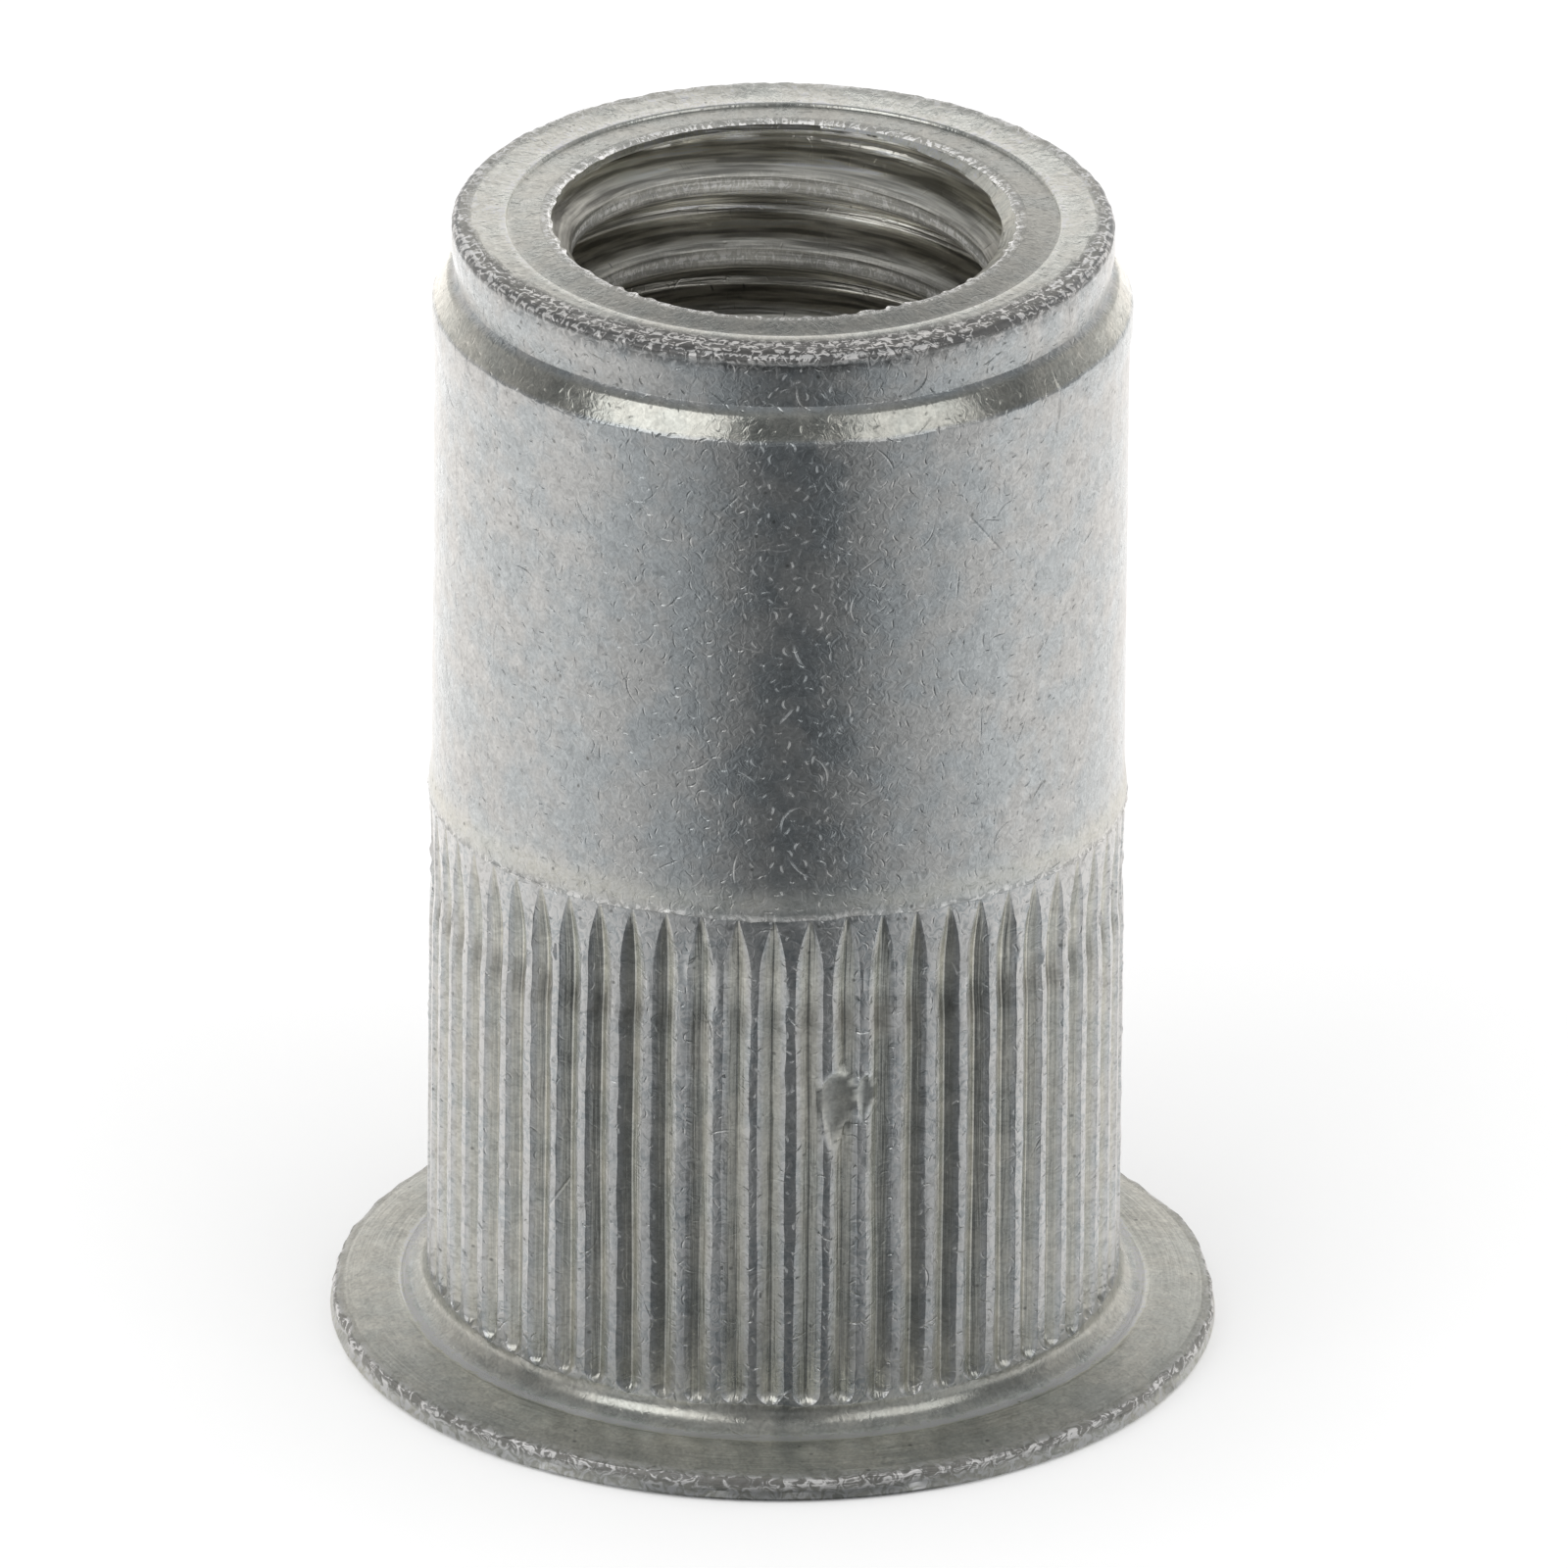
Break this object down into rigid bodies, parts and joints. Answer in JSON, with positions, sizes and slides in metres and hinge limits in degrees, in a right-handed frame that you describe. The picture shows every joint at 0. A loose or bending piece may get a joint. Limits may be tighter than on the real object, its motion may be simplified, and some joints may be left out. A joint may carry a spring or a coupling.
{
  "type": "rivet nut",
  "caption": "Knurled tubular rivet nut with a thin flat flange, a thin-walled chamber that folds when set, and a threaded open end.",
  "frame": {"origin": "on the nut's axis, in the flange's outer face", "axes": "+Z along the axis from the flange to the threaded open end; one groove of the knurl faces -Y"},
  "size_m": [0.014, 0.014, 0.019],
  "materials": {
    "zinc_plated_steel": "bright zinc plating over cold-formed steel, lightly scuffed"
  },
  "bodies": {
    "root": {"rivet_nut": "zinc_plated_steel"}
  },
  "joints": []
}
